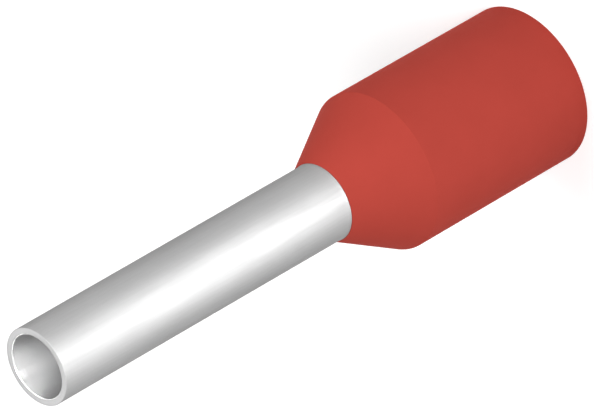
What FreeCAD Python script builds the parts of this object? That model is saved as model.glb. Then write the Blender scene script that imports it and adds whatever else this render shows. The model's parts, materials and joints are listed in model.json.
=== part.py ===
import FreeCAD, Part
import math
import os

# Insulated wire ferrule for a stranded conductor of one square millimetre.
# A thin tinned copper sleeve takes the bare strands and is belled at its rear,
# and a moulded collar grips the sleeve's neck and takes the wire's insulation.
# Millimetres. +Z runs along the axis, from the collar's open end to the tip.
# The origin is the centre of the collar's open end, on which the ferrule stands.

# Lengths along the axis
total_length = 14.0
collar_length = 6.0
barrel_length = 4.43

# Metal sleeve
sleeve_bore = 1.4
sleeve_wall = 0.15
tip_chamfer = 0.025
neck_swell = 0.01
neck_swell_length = 0.06
bell_bend_radius = 0.3
bell_rim_gap = 0.05

# Plastic collar
collar_bore = 3.0
collar_wall = 0.25
cone_wall = 0.25
mouth_edge = 0.015
entry_chamfer_width = 0.1
entry_chamfer_depth = 0.15

# Radii of the sleeve
sleeve_inner_radius = sleeve_bore / 2
sleeve_outer_radius = sleeve_inner_radius + sleeve_wall
neck_outer_radius = sleeve_outer_radius + neck_swell
neck_inner_radius = sleeve_inner_radius + neck_swell

# Radii of the collar
collar_inner_radius = collar_bore / 2
collar_outer_radius = collar_inner_radius + collar_wall
mouth_radius = neck_outer_radius + mouth_edge

# Slope of the collar's cone, which the seat inside it and the bell follow
cone_angle = math.atan2(collar_outer_radius - mouth_radius, collar_length - barrel_length)
seat_radius_at_shoulder = collar_outer_radius - cone_wall / math.cos(cone_angle)


def section_point(radius, height):
    """Point of a half section, at a distance from the axis and a height above the open end."""
    return FreeCAD.Vector(radius, 0.0, height)


def seat_point(radius):
    """Point of the conical seat at a given radius, where the bell's outer face lies on the collar."""
    rise = (seat_radius_at_shoulder - radius) / math.tan(cone_angle)
    return section_point(radius, barrel_length + rise)


# Bend between the straight neck and the bell, shared by the sleeve and the collar
bend_height = seat_point(neck_outer_radius).z + bell_bend_radius * math.tan(cone_angle / 2)
bend_centre = section_point(neck_outer_radius + bell_bend_radius, bend_height)
into_bell = section_point(math.cos(cone_angle), math.sin(cone_angle))


def bend_point(radius, turn):
    """Point of the bend at a radius about its centre, a turn away from the straight neck."""
    return bend_centre - section_point(radius * math.cos(turn), radius * math.sin(turn))


def bend_arc(radius):
    """Arc of the bend, from the straight neck to the slope of the bell."""
    ends = bend_point(radius, 0.0), bend_point(radius, cone_angle)
    return Part.Arc(ends[0], bend_point(radius, cone_angle / 2), ends[1]).toShape()


def straight_edges(points):
    """Straight edges that join points in their order."""
    return [Part.LineSegment(start, end).toShape() for start, end in zip(points, points[1:])]


def turned_solid(edges):
    """Solid made by turning a closed half section once round the axis."""
    section = Part.Face(Part.Wire(Part.__sortEdges__(edges)))
    return section.revolve(FreeCAD.Vector(0, 0, 0), FreeCAD.Vector(0, 0, 1), 360)


def crimp_sleeve():
    """Thin metal sleeve with a chamfered tip, a slight swell at the neck and a belled rear end."""
    swell_start = collar_length + neck_swell_length
    rim_outer = seat_point(collar_inner_radius - bell_rim_gap)
    rim_inner = rim_outer - into_bell * sleeve_wall
    outer_radius_of_bend = bell_bend_radius
    inner_radius_of_bend = bell_bend_radius + sleeve_wall
    round_the_tip = straight_edges([
        bend_point(outer_radius_of_bend, 0.0),
        section_point(neck_outer_radius, collar_length),
        section_point(sleeve_outer_radius, swell_start),
        section_point(sleeve_outer_radius, total_length),
        section_point(sleeve_inner_radius + tip_chamfer, total_length),
        section_point(sleeve_inner_radius, total_length - tip_chamfer),
        section_point(sleeve_inner_radius, swell_start),
        section_point(neck_inner_radius, collar_length),
        bend_point(inner_radius_of_bend, 0.0),
    ])
    round_the_rim = straight_edges([
        bend_point(inner_radius_of_bend, cone_angle),
        rim_inner,
        rim_outer,
        bend_point(outer_radius_of_bend, cone_angle),
    ])
    bends = [bend_arc(outer_radius_of_bend), bend_arc(inner_radius_of_bend)]
    return turned_solid(round_the_tip + round_the_rim + bends)


def insulating_collar():
    """Moulded collar: an open barrel, and a cone that closes onto the sleeve's neck and bell."""
    round_the_outside = straight_edges([
        bend_point(bell_bend_radius, cone_angle),
        seat_point(collar_inner_radius),
        section_point(collar_inner_radius, entry_chamfer_depth),
        section_point(collar_inner_radius + entry_chamfer_width, 0.0),
        section_point(collar_outer_radius, 0.0),
        section_point(collar_outer_radius, barrel_length),
        section_point(mouth_radius, collar_length),
        section_point(neck_outer_radius, collar_length),
        bend_point(bell_bend_radius, 0.0),
    ])
    return turned_solid(round_the_outside + [bend_arc(bell_bend_radius)])


os.makedirs("parts", exist_ok=True)
crimp_sleeve().exportStep("parts/crimp_sleeve.step")
insulating_collar().exportStep("parts/insulating_collar.step")
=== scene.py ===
import json
import logging
import math
from dataclasses import KW_ONLY, dataclass
from enum import Enum
from typing import Sequence

import bpy
from mathutils import Matrix, Vector


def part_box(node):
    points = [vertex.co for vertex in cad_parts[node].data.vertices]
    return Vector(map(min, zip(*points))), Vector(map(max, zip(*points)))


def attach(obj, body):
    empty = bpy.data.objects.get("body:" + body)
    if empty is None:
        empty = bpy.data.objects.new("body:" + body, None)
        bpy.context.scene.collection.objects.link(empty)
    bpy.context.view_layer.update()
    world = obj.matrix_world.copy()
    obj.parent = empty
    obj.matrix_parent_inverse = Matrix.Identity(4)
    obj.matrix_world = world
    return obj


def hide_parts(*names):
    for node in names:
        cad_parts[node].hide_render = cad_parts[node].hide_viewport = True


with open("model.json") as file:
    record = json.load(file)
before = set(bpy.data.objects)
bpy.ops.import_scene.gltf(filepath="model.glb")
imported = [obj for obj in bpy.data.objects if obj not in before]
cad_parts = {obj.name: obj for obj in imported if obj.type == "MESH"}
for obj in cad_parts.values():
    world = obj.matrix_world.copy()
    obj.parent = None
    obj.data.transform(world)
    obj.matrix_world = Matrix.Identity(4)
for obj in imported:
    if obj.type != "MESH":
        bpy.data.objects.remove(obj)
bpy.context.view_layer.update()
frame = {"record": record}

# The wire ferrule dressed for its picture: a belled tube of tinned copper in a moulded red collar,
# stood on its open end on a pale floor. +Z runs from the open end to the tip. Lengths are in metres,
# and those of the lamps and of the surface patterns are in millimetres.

log = logging.getLogger("ferrule")

Colour = tuple[float, float, float, float]
Socket = bpy.types.NodeSocket

MM = 0.001
CENTRE = (0.0, 0.0, 0.0)
WHITE: Colour = (1.0, 1.0, 1.0, 1.0)
NECK_SWELL = 0.01 * MM


class Node(Enum):
    """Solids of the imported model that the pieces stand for."""

    SLEEVE = "crimp_sleeve"
    COLLAR = "insulating_collar"


class Slot(Enum):
    """Material slots of the record."""

    TIN = "tinned_copper"
    PLASTIC = "red_polypropylene"


class Mount(Enum):
    """Round mounts of the record that give the pieces their radii."""

    CONDUCTOR = "conductor_bore"
    INSULATION = "insulation_bore"
    OUTSIDE = "sleeve_outside"


class Ray(Enum):
    """Kinds of ray that the Light Path node tells apart."""

    CAMERA = "Is Camera Ray"
    GLOSSY = "Is Glossy Ray"
    TRANSMISSION = "Is Transmission Ray"


class Output(Enum):
    """Nodes that end a node tree."""

    MATERIAL = "ShaderNodeOutputMaterial"
    WORLD = "ShaderNodeOutputWorld"


class Lights(Enum):
    """What a lamp lights: surfaces that mirror it, as metal does, or surfaces that scatter its light."""

    GLOSS = "gloss"
    MATT = "matt"


def mount_radius(mount: Mount) -> float:
    """Radius in metres of a round mount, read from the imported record."""
    mounts = {row["name"]: row for row in frame["record"]["mounts"]}
    return mounts[mount.value]["dims"]["r_mm"] * MM


def grey(level: float) -> Colour:
    """Makes an opaque grey of a level from 0 to 1."""
    return (level, level, level, 1.0)


def node_material(name: str) -> bpy.types.Material:
    """Makes a material that has a node tree.

    Args:
        name: The material's name.

    Returns:
        The new material.
    """
    material = bpy.data.materials.new(name)
    material.use_nodes = True
    return material


@dataclass(frozen=True)
class Pattern:
    """Noise pattern of a surface: its turns per millimetre, and how many finer octaves it has."""

    per_mm: float
    detail: float


class NodeSheet:
    """Node tree of a material or of the world, with short calls that add a node and link it."""

    noise_low = 0.3
    noise_high = 0.7

    def __init__(self, tree: bpy.types.NodeTree) -> None:
        """Empties a node tree, to fill it afresh."""
        self.tree = tree
        self.tree.nodes.clear()

    def add(self, kind: str, inputs: dict | None = None, **settings: object) -> bpy.types.Node:
        """Adds a node, sets its options and fills its inputs.

        Args:
            kind: The node's type name.
            inputs: Values or output sockets by the name or index of the input.
            **settings: Options of the node itself.

        Returns:
            The new node.
        """
        node = self.tree.nodes.new(kind)
        for name, value in settings.items():
            setattr(node, name, value)
        for name, value in (inputs or {}).items():
            if isinstance(value, Socket):
                self.tree.links.new(value, node.inputs[name])
            else:
                node.inputs[name].default_value = value
        return node

    def combine(self, operation: str, first: object, second: object) -> Socket:
        """Output that makes one value of two, each a number or an output, as the Math node names it."""
        return self.add("ShaderNodeMath", {0: first, 1: second}, operation=operation).outputs[0]

    def coordinates(self, stretch: tuple[float, float, float] = (1.0, 1.0, 1.0)) -> Socket:
        """Object coordinates in millimetres, so that a pattern's scale is in turns per millimetre.

        Args:
            stretch: Further factors on each axis.

        Returns:
            The vector output.
        """
        source = self.add("ShaderNodeTexCoord")
        scale = [factor / MM for factor in stretch]
        mapping = self.add("ShaderNodeMapping", {"Vector": source.outputs["Object"], "Scale": scale})
        return mapping.outputs["Vector"]

    def noise(self, vector: Socket, pattern: Pattern) -> Socket:
        """Adds a noise texture.

        Args:
            vector: The coordinates to read, in millimetres.
            pattern: The noise's scale and detail.

        Returns:
            The noise's value output, mostly between noise_low and noise_high.
        """
        texture = self.add("ShaderNodeTexNoise", {
            "Vector": vector, "Scale": pattern.per_mm, "Detail": pattern.detail,
        })
        return texture.outputs["Fac"]

    def spread(self, value: Socket, low: float, high: float) -> Socket:
        """Maps the middle of a noise's span to a range.

        Args:
            value: The noise's output.
            low: The result where the noise is low.
            high: The result where the noise is high.

        Returns:
            The mapped output.
        """
        return self.add("ShaderNodeMapRange", {
            "Value": value, "From Min": self.noise_low, "From Max": self.noise_high,
            "To Min": low, "To Max": high,
        }).outputs["Result"]

    def blend(self, factor: Socket, first: Colour, second: Colour) -> Socket:
        """Mixes two colours.

        Args:
            factor: 0 for the first colour and 1 for the second.
            first: A colour with its alpha.
            second: A colour with its alpha.

        Returns:
            The mixed colour output.
        """
        node = self.add("ShaderNodeMix", {"Factor": factor}, data_type="RGBA")
        ends = [socket for socket in node.inputs if socket.type == "RGBA"]
        for socket, colour in zip(ends, (first, second)):
            socket.default_value = colour
        return next(socket for socket in node.outputs if socket.type == "RGBA")

    def bump(self, relief: Socket, height: float) -> Socket:
        """Normal output for bumps that follow a relief, and whose height is in millimetres."""
        node = self.add("ShaderNodeBump", {"Height": relief, "Distance": height * MM, "Strength": 1.0})
        return node.outputs["Normal"]

    def pale_rays(self, mirrored: float = 1.0) -> Socket:
        """Tells which rays see the pale surroundings as white.

        Args:
            mirrored: The share of the paleness that a reflection or glass shows.

        Returns:
            A value output: 1 for rays of the camera, the share for rays of a reflection or through
            glass, and 0 for others.
        """
        path = self.add("ShaderNodeLightPath")
        seen = path.outputs[Ray.CAMERA.value]
        for ray in (Ray.GLOSSY, Ray.TRANSMISSION):
            share = self.combine("MULTIPLY", path.outputs[ray.value], mirrored)
            seen = self.combine("MAXIMUM", seen, share)
        return seen

    def end(self, shader: Socket, output: Output = Output.MATERIAL) -> None:
        """Ends the tree with the shader output that it shows."""
        self.add(output.value, {"Surface": shader})


@dataclass(frozen=True)
class TinFinish:
    """Satin tin plating, with fine grain and faint lines left by drawing the tube."""

    name: str = "tin_plate"
    colour: Colour = grey(0.322)
    shade: Colour = grey(0.308)
    edge_tint: Colour = grey(0.295)
    roughness: tuple[float, float] = (0.46, 0.56)
    metallic: float = 1.0
    anisotropy: float = 0.3
    cloud: Pattern = Pattern(per_mm=0.9, detail=3.0)
    grain: Pattern = Pattern(per_mm=18.0, detail=2.0)
    lines: Pattern = Pattern(per_mm=14.0, detail=3.0)
    stretch: tuple[float, float, float] = (1.0, 1.0, 0.05)
    bump_height: float = 0.0006

    def material(self) -> bpy.types.Material:
        """Makes the plating's material.

        Returns:
            The material.
        """
        material = node_material(self.name)
        sheet = NodeSheet(material.node_tree)
        place = sheet.coordinates()
        cloud = sheet.noise(place, self.cloud)
        grain = sheet.noise(place, self.grain)
        lines = sheet.noise(sheet.coordinates(self.stretch), self.lines)
        shader = sheet.add("ShaderNodeBsdfPrincipled", {
            "Base Color": sheet.blend(sheet.spread(cloud, 0.0, 1.0), self.colour, self.shade),
            "Metallic": self.metallic,
            "Roughness": sheet.spread(lines, *self.roughness),
            "Normal": sheet.bump(sheet.combine("ADD", grain, lines), self.bump_height),
            "Anisotropic": self.anisotropy,
            "Specular Tint": self.edge_tint,
        })
        sheet.end(shader.outputs["BSDF"])
        return material


# Copy of the tin plating for the bore, painted far lighter than the same tin outside (0.86 against 0.322):
# painted light that brightens the bore.
LIT_BORE_TIN = TinFinish(
    name="tin_plate_painted_lighter_in_bore",
    colour=grey(0.86),
    shade=grey(0.853),
    edge_tint=WHITE,
    roughness=(0.235, 0.255),
    anisotropy=0.0,
    bump_height=0.0,
)


@dataclass(frozen=True)
class PlasticFinish:
    """Red polypropylene as it leaves the mould: a fine matt texture with a slight mottle."""

    name: str = "red_plastic"
    colour: Colour = (0.452, 0.0592, 0.0435, 1.0)
    shade: Colour = (0.436, 0.0570, 0.0415, 1.0)
    roughness: tuple[float, float] = (0.74, 0.84)
    specular: float = 0.018
    mottle: Pattern = Pattern(per_mm=1.1, detail=4.0)
    texture: Pattern = Pattern(per_mm=16.0, detail=2.0)
    bump_height: float = 0.0008

    def material(self) -> bpy.types.Material:
        """Makes the plastic's material.

        Returns:
            The material.
        """
        material = node_material(self.name)
        sheet = NodeSheet(material.node_tree)
        place = sheet.coordinates()
        mottle = sheet.noise(place, self.mottle)
        texture = sheet.noise(place, self.texture)
        shader = sheet.add("ShaderNodeBsdfPrincipled", {
            "Base Color": sheet.blend(sheet.spread(mottle, 0.0, 1.0), self.colour, self.shade),
            "Roughness": sheet.spread(texture, *self.roughness),
            "Specular IOR Level": self.specular,
            "Normal": sheet.bump(texture, self.bump_height),
        })
        sheet.end(shader.outputs["BSDF"])
        return material


@dataclass(frozen=True)
class FloorFinish:
    """Pale matt floor with a glow of its own, which looks white but for the ferrule's soft shadow."""

    name: str = "pale_floor"
    colour: Colour = grey(0.86)
    glow_near: float = 0.36
    glow_far: float = 0.80
    mirrored: float = 0.80
    near_reach: float = 22.0 * MM
    far_reach: float = 60.0 * MM

    def material(self) -> bpy.types.Material:
        """Makes the floor's material.

        Its glow shows to the camera and, weaker, in reflections, and casts no light on matt surfaces.
        It is stronger far out, where less of the lamps' light arrives.

        Returns:
            The material.
        """
        material = node_material(self.name)
        sheet = NodeSheet(material.node_tree)
        matt = sheet.add("ShaderNodeBsdfDiffuse", {"Color": self.colour})
        place = sheet.add("ShaderNodeTexCoord").outputs["Object"]
        distance = sheet.add("ShaderNodeVectorMath", {0: place}, operation="LENGTH").outputs["Value"]
        glow = sheet.add("ShaderNodeMapRange", {
            "Value": distance, "From Min": self.near_reach, "From Max": self.far_reach,
            "To Min": self.glow_near, "To Max": self.glow_far,
        }).outputs["Result"]
        strength = sheet.combine("MULTIPLY", sheet.pale_rays(self.mirrored), glow)
        light = sheet.add("ShaderNodeEmission", {"Strength": strength})
        both = sheet.add("ShaderNodeAddShader", {0: matt.outputs[0], 1: light.outputs[0]})
        sheet.end(both.outputs[0])
        return material


@dataclass(frozen=True)
class Ring:
    """One ring of a turned outline, at a radius and a height, with the rounding of its edge."""

    radius: float
    height: float
    rounding: float = 0.0
    steps: int = 4

    def meets(self, radius: float, height: float, tolerance: float) -> bool:
        """Says if a point at a radius and a height lies on the ring, to a tolerance."""
        return abs(radius - self.radius) < tolerance and abs(height - self.height) < tolerance


class Piece:
    """A turned piece that is modelled with edit-mode tools about the Z axis."""

    tolerance = 1e-7
    ring_tolerance = 2e-6
    smooth_below = 35.0

    def __init__(self, name: str, segments: int) -> None:
        """Keeps the piece's name and how many sides its rings have.

        Args:
            name: The piece's name.
            segments: Number of sides of every ring.
        """
        self.name = name
        self.segments = segments
        self.object: bpy.types.Object | None = None

    @property
    def faces(self) -> int:
        """Number of faces that the piece has."""
        return len(self.object.data.polygons)

    def start_tube(self, low: Ring, high: Ring) -> None:
        """Adds an open tube, and leaves it in edit mode with nothing selected.

        Args:
            low: Its lower ring.
            high: Its upper ring, of the same radius.
        """
        bpy.ops.object.select_all(action="DESELECT")
        bpy.ops.mesh.primitive_cylinder_add(
            vertices=self.segments, radius=low.radius, depth=high.height - low.height,
            end_fill_type="NOTHING", location=(0.0, 0.0, (low.height + high.height) / 2),
        )
        self.object = bpy.context.object
        self.object.name = self.name
        self.object.data.name = self.name
        bpy.ops.object.transform_apply(location=True, rotation=True, scale=True)
        bpy.ops.object.mode_set(mode="EDIT")
        bpy.ops.mesh.select_mode(type="EDGE")
        bpy.ops.mesh.select_all(action="DESELECT")

    def select_rings(self, *rings: Ring) -> None:
        """Selects the edges of some rings, and nothing else.

        Args:
            *rings: The rings to find.
        """
        bpy.ops.mesh.select_all(action="DESELECT")
        bpy.ops.object.mode_set(mode="OBJECT")
        mesh = self.object.data
        found = []
        for vertex in mesh.vertices:
            radius, height = math.hypot(vertex.co.x, vertex.co.y), vertex.co.z
            found.append(any(ring.meets(radius, height, self.ring_tolerance) for ring in rings))
        for edge in mesh.edges:
            first, second = edge.vertices
            rise = mesh.vertices[second].co.z - mesh.vertices[first].co.z
            edge.select = found[first] and found[second] and abs(rise) < self.tolerance
        bpy.ops.object.mode_set(mode="EDIT")

    def draw_on(self, rings: Sequence[Ring]) -> None:
        """Extrudes a ring's edges from one ring of the outline to the next.

        Args:
            rings: A ring that is on the mesh, and then the rings to reach, in order.
        """
        self.select_rings(rings[0])
        for last, ring in zip(rings, rings[1:]):
            rise = (0.0, 0.0, ring.height - last.height)
            bpy.ops.mesh.extrude_region_move(TRANSFORM_OT_translate={"value": rise})
            widen = ring.radius / last.radius
            bpy.ops.transform.resize(value=(widen, widen, 1.0), center_override=CENTRE)

    def bridge(self, first: Ring, second: Ring) -> None:
        """Joins two open rings with a band of faces."""
        self.select_rings(first, second)
        bpy.ops.mesh.bridge_edge_loops()

    def bevel(self, ring: Ring, offset: float, steps: int) -> None:
        """Bevels a ring's edge, as far as the offset along the faces on both sides, in some steps."""
        self.select_rings(ring)
        bpy.ops.mesh.bevel(offset_type="OFFSET", offset=offset, segments=steps, affect="EDGES")

    def round_corners(self, outline: Sequence[Ring]) -> None:
        """Rounds the edges of an outline's rings that have a rounding, but for the two end rings.

        Args:
            outline: The rings in order.
        """
        for before, corner, after in zip(outline, outline[1:], outline[2:]):
            if corner.rounding:
                into = Vector((corner.radius - before.radius, corner.height - before.height))
                out = Vector((after.radius - corner.radius, after.height - corner.height))
                reach = corner.rounding * math.tan(into.angle(out) / 2)
                self.bevel(corner, reach, corner.steps)

    def dress(self, *materials: bpy.types.Material) -> None:
        """Gives the piece its materials, the first of them on all the faces that it has so far."""
        for material in materials:
            self.object.data.materials.append(material)

    def thicken(self, wall: float) -> None:
        """Gives the skin a wall towards the inside, whose inner face takes the second material.

        Args:
            wall: The wall's thickness.
        """
        bpy.ops.mesh.select_all(action="SELECT")
        bpy.ops.mesh.normals_make_consistent(inside=False)
        bpy.ops.object.mode_set(mode="OBJECT")
        solid = self.object.modifiers.new("tube_wall", "SOLIDIFY")
        solid.thickness = wall
        solid.offset = -1.0
        solid.use_even_offset = True
        solid.material_offset = 1
        bpy.ops.object.modifier_apply(modifier=solid.name)
        bpy.ops.object.mode_set(mode="EDIT")

    def close_up(self, node: Node) -> None:
        """Leaves edit mode, smooths the piece and ties it to the frame.

        Args:
            node: The solid that it stands for.
        """
        bpy.ops.mesh.select_all(action="SELECT")
        bpy.ops.mesh.remove_doubles(threshold=self.tolerance)
        bpy.ops.mesh.normals_make_consistent(inside=False)
        bpy.ops.object.mode_set(mode="OBJECT")
        bpy.ops.object.shade_smooth_by_angle(angle=math.radians(self.smooth_below))
        weighted = self.object.modifiers.new("even_shading", "WEIGHTED_NORMAL")
        weighted.keep_sharp = True
        bpy.ops.object.modifier_apply(modifier=weighted.name)
        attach(self.object, "root")
        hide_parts(node.value)


@dataclass
class Collar:
    """Moulded collar: an open barrel whose cone closes onto the sleeve's neck and bell."""

    length: float
    outer_radius: float
    bore_radius: float
    neck_radius: float
    barrel_length: float = 4.43 * MM
    mouth_edge: float = 0.015 * MM
    cone_wall: float = 0.25 * MM
    entry_width: float = 0.10 * MM
    entry_depth: float = 0.15 * MM
    bend_radius: float = 0.30 * MM
    bend_steps: int = 8
    shoulder_rounding: float = 0.03 * MM
    shoulder_steps: int = 5
    rear_rounding: float = 0.025 * MM
    step_rounding: float = 0.05 * MM
    entry_rounding: float = 0.03 * MM
    rim_rounding: float = 0.02 * MM
    segments: int = 256

    @property
    def mouth_radius(self) -> float:
        """Radius of the front edge, just proud of the neck."""
        return self.neck_radius + self.mouth_edge

    @property
    def slope(self) -> float:
        """Angle between the cone and the axis."""
        return math.atan2(self.outer_radius - self.mouth_radius, self.length - self.barrel_length)

    @property
    def bend(self) -> Ring:
        """Ring where the straight neck turns into the conical seat."""
        height = self.seat_height(self.neck_radius)
        return Ring(self.neck_radius, height, self.bend_radius, self.bend_steps)

    def seat_height(self, radius: float) -> float:
        """Height of the conical seat at a distance from the axis."""
        at_shoulder = self.outer_radius - self.cone_wall / math.cos(self.slope)
        return self.barrel_length + (at_shoulder - radius) / math.tan(self.slope)

    def build(self, material: bpy.types.Material) -> Piece:
        """Models the collar and dresses it.

        Args:
            material: The plastic's material.

        Returns:
            The finished piece.
        """
        rear = Ring(self.outer_radius, 0.0, self.rear_rounding)
        shoulder = Ring(self.outer_radius, self.barrel_length, self.shoulder_rounding, self.shoulder_steps)
        mouth = Ring(self.mouth_radius, self.length)
        neck = Ring(self.neck_radius, self.length)
        step = Ring(self.bore_radius, self.seat_height(self.bore_radius), self.step_rounding)
        entry = Ring(self.bore_radius, self.entry_depth, self.entry_rounding)
        rim = Ring(self.bore_radius + self.entry_width, 0.0, self.rim_rounding)
        outline = (rear, shoulder, mouth, neck, self.bend, step, entry, rim)
        piece = Piece("moulded_collar", self.segments)
        piece.start_tube(rear, shoulder)
        piece.draw_on(outline[1:])
        piece.bridge(rim, rear)
        piece.round_corners((rim, *outline, rear))
        piece.dress(material)
        piece.close_up(Node.COLLAR)
        return piece


@dataclass
class Sleeve:
    """Thin drawn tube with a trimmed tip, a slight swell at the collar and a belled rear end."""

    length: float
    outer_radius: float
    inner_radius: float
    bell_radius: float
    collar: Collar
    swell_length: float = 0.06 * MM
    swell_rounding: float = 0.1 * MM
    tip_chamfer: float = 0.025 * MM
    tip_rounding: float = 0.012 * MM
    tip_steps: int = 3
    segments: int = 192

    def build(self, outside: bpy.types.Material, bore: bpy.types.Material) -> Piece:
        """Models the sleeve and dresses it.

        Args:
            outside: The material of the plating outside and on the tip.
            bore: The plating's copy for the bore, painted far lighter than the outside's as painted light
                in the bore.

        Returns:
            The finished piece.
        """
        tip = Ring(self.outer_radius, self.length)
        start = Ring(self.outer_radius, self.collar.length + self.swell_length, self.swell_rounding)
        swell = Ring(self.collar.neck_radius, self.collar.length, self.swell_rounding)
        rim = Ring(self.bell_radius, self.collar.seat_height(self.bell_radius))
        outline = (tip, start, swell, self.collar.bend, rim)
        piece = Piece("drawn_sleeve", self.segments)
        piece.start_tube(start, tip)
        piece.draw_on(outline[1:])
        piece.round_corners(outline)
        piece.dress(outside, bore)
        piece.thicken(self.outer_radius - self.inner_radius)
        piece.bevel(Ring(self.inner_radius, self.length), self.tip_chamfer, self.tip_steps)
        piece.bevel(tip, self.tip_rounding, self.tip_steps)
        piece.close_up(Node.SLEEVE)
        return piece


@dataclass(frozen=True)
class Lamp:
    """Soft area lamp, turned towards the ferrule's axis and then tilted up or down.

    Its lengths are in millimetres and its angles in degrees. The azimuth runs from -Y, the camera's
    side, towards +X, and a tilt above zero faces up.
    """

    name: str
    _: KW_ONLY
    azimuth: float
    reach: float
    height: float
    tilt: float
    width: float
    tall: float
    radiance: float
    lights: Lights = Lights.GLOSS

    def build(self) -> None:
        """Adds the lamp, which isn't seen itself and lights only its own kind of surface."""
        turn, tilt = math.radians(self.azimuth), math.radians(self.tilt)
        outward = Vector((math.sin(turn), -math.cos(turn), 0.0))
        facing = Vector((0.0, 0.0, math.sin(tilt))) - outward * math.cos(tilt)
        data = bpy.data.lights.new(self.name, "AREA")
        data.shape = "RECTANGLE"
        data.size = self.width * MM
        data.size_y = self.tall * MM
        data.energy = self.radiance * math.pi * data.size * data.size_y
        lamp = bpy.data.objects.new(self.name, data)
        lamp.location = outward * (self.reach * MM) + Vector((0.0, 0.0, self.height * MM))
        lamp.rotation_euler = facing.to_track_quat("-Z", "Y").to_euler()
        lamp.visible_camera = False
        lamp.visible_diffuse = self.lights is Lights.MATT
        lamp.visible_glossy = self.lights is Lights.GLOSS
        bpy.context.scene.collection.objects.link(lamp)


@dataclass(frozen=True, kw_only=True)
class FloorCard(Lamp):
    """Lamp that lies just above the floor and faces up, which the metal mirrors as bright ground."""

    height: float = 0.3
    tilt: float = 90.0


@dataclass(frozen=True, kw_only=True)
class FarLamp(Lamp):
    """Large lamp far away, which lights the plastic and the floor softly."""

    width: float = 160.0
    tall: float = 160.0
    lights: Lights = Lights.MATT


@dataclass
class Studio:
    """Pale floor, dim surroundings, and lamps: the far ones for matt surfaces, the rest for the metal."""

    floor_size: float = 1.2
    ambient: float = 0.11
    seen_level: float = 1.0
    lamps: tuple[Lamp, ...] = (
        Lamp("key_lamp", azimuth=-15.0, reach=11.5, height=22.0, tilt=-35.0,
             width=8.0, tall=8.0, radiance=4.3),
        Lamp("front_lamp", azimuth=-15.0, reach=70.0, height=30.0, tilt=-18.0,
             width=40.0, tall=26.0, radiance=8.4),
        Lamp("high_lamp", azimuth=45.0, reach=34.0, height=52.0, tilt=-52.0,
             width=24.0, tall=24.0, radiance=2.6),
        Lamp("side_lamp", azimuth=90.0, reach=40.0, height=34.0, tilt=-35.0,
             width=30.0, tall=30.0, radiance=2.2),
        Lamp("rear_lamp", azimuth=190.0, reach=60.0, height=20.0, tilt=-12.0,
             width=36.0, tall=20.0, radiance=2.4),
        Lamp("back_lamp", azimuth=175.0, reach=24.0, height=32.0, tilt=-36.0,
             width=26.0, tall=26.0, radiance=1.60),
        FarLamp("collar_front", azimuth=-17.0, reach=219.4, height=207.6, tilt=-43.0, radiance=9.20),
        FarLamp("collar_rear", azimuth=150.0, reach=289.8, height=80.6, tilt=-15.0, radiance=1.35),
        FarLamp("collar_right", azimuth=55.0, reach=212.1, height=215.1, tilt=-45.0, radiance=1.53),
        FarLamp("collar_side", azimuth=105.0, reach=172.1, height=248.7, tilt=-55.0, radiance=3.94),
        FarLamp("collar_back", azimuth=-150.0, reach=281.9, height=105.6, tilt=-20.0, radiance=1.97),
        Lamp("bore_low", azimuth=-15.0, reach=9.0, height=25.0, tilt=-50.0,
             width=5.0, tall=6.0, radiance=9.0),
        Lamp("bore_high", azimuth=-15.0, reach=6.0, height=27.0, tilt=-65.0,
             width=4.0, tall=5.0, radiance=38.0),
        FloorCard("base_card", azimuth=0.0, reach=0.0, width=19.0, tall=19.0, radiance=0.40),
        FloorCard("near_card", azimuth=-15.0, reach=13.5, width=8.0, tall=9.0, radiance=5.9),
        FloorCard("near_left_card", azimuth=-50.0, reach=13.5, width=8.0, tall=9.0, radiance=1.2),
        FloorCard("near_right_card", azimuth=20.0, reach=13.5, width=8.0, tall=9.0, radiance=1.8),
        FloorCard("middle_card", azimuth=-15.0, reach=25.0, width=12.0, tall=14.0, radiance=11.3),
        FloorCard("left_card", azimuth=-50.0, reach=25.0, width=12.0, tall=14.0, radiance=3.4),
        FloorCard("right_card", azimuth=20.0, reach=25.0, width=12.0, tall=14.0, radiance=3.3),
        FloorCard("back_card", azimuth=168.0, reach=42.0, width=18.0, tall=30.0, radiance=6.0),
    )

    def build(self) -> None:
        """Builds the floor, the surroundings and the lamps."""
        bpy.ops.object.select_all(action="DESELECT")
        bpy.ops.mesh.primitive_plane_add(size=self.floor_size, location=CENTRE)
        floor = bpy.context.object
        floor.name = "floor"
        floor.data.materials.append(FloorFinish().material())
        self.surround()
        for lamp in self.lamps:
            lamp.build()

    def surround(self) -> None:
        """Gives the world an even dim light, and white where the camera or a reflection sees it."""
        world = bpy.data.worlds.new("surroundings")
        world.use_nodes = True
        bpy.context.scene.world = world
        sheet = NodeSheet(world.node_tree)
        strength = sheet.add("ShaderNodeMapRange", {
            "Value": sheet.pale_rays(), "To Min": self.ambient, "To Max": self.seen_level,
        }).outputs["Result"]
        light = sheet.add("ShaderNodeBackground", {"Color": WHITE, "Strength": strength})
        sheet.end(light.outputs["Background"], Output.WORLD)


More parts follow.
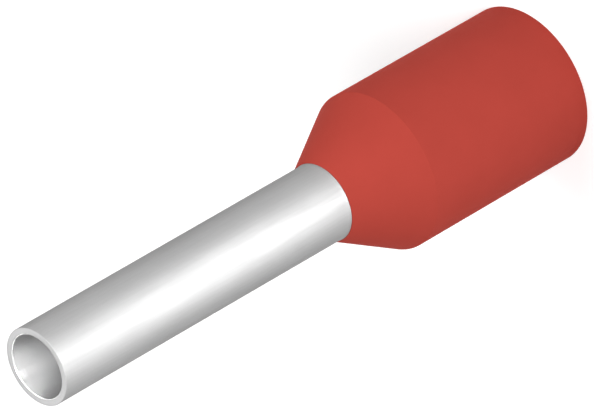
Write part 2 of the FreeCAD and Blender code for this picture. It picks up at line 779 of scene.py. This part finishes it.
@dataclass
class PhotoCamera:
    """Long-lens camera that sees the ferrule as the photograph does, with its tip down to the left."""

    target: Vector
    frame_width: float = 594.0
    frame_height: float = 412.0
    focal_pixels: float = 8933.0
    pixels_per_metre: float = 49.68 / MM
    target_column: float = 286.73
    target_row: float = 222.47
    elevation: float = 35.8
    tip_below_left: float = 29.98
    sensor_width: float = 36.0
    clip_factor: float = 10.0

    def build(self) -> None:
        """Adds the camera and makes it the scene's own."""
        rise, tilt = math.radians(self.elevation), math.radians(self.tip_below_left)
        forward = Vector((0.0, math.cos(rise), -math.sin(rise)))
        level = Vector((1.0, 0.0, 0.0))
        upright = level.cross(forward)
        right = -math.sin(tilt) * level - math.cos(tilt) * upright
        up = math.cos(tilt) * level - math.sin(tilt) * upright
        distance = self.focal_pixels / self.pixels_per_metre
        across = (self.target_column - self.frame_width / 2) / self.pixels_per_metre
        above = (self.frame_height / 2 - self.target_row) / self.pixels_per_metre
        data = bpy.data.cameras.new("photo_camera")
        data.sensor_width = self.sensor_width
        data.lens = self.focal_pixels / self.frame_width * self.sensor_width
        data.clip_start = distance / self.clip_factor
        data.clip_end = distance * self.clip_factor
        camera = bpy.data.objects.new("photo_camera", data)
        place = self.target - right * across - up * above - forward * distance
        turn = Matrix((right, up, -forward)).transposed().to_4x4()
        camera.matrix_world = Matrix.Translation(place) @ turn
        bpy.context.scene.collection.objects.link(camera)
        bpy.context.scene.camera = camera


def main() -> None:
    """Builds and reports the pieces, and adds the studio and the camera."""
    logging.basicConfig(level=logging.INFO, format="%(message)s")
    bpy.context.scene.view_settings.view_transform = "Standard"
    _, sleeve_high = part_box(Node.SLEEVE.value)
    _, collar_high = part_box(Node.COLLAR.value)
    sleeve_radius = mount_radius(Mount.OUTSIDE)
    collar = Collar(
        length=collar_high.z,
        outer_radius=collar_high.x,
        bore_radius=mount_radius(Mount.INSULATION),
        neck_radius=sleeve_radius + NECK_SWELL,
    )
    sleeve = Sleeve(
        length=sleeve_high.z,
        outer_radius=sleeve_radius,
        inner_radius=mount_radius(Mount.CONDUCTOR),
        bell_radius=sleeve_high.x,
        collar=collar,
    )
    pieces = (
        collar.build(PlasticFinish().material()),
        sleeve.build(TinFinish().material(), LIT_BORE_TIN.material()),
    )
    for piece in pieces:
        log.info("%s: %d faces", piece.name, piece.faces)
    Studio().build()
    PhotoCamera(target=Vector((0.0, 0.0, sleeve_high.z / 2))).build()


if __name__ == "__main__":
    main()
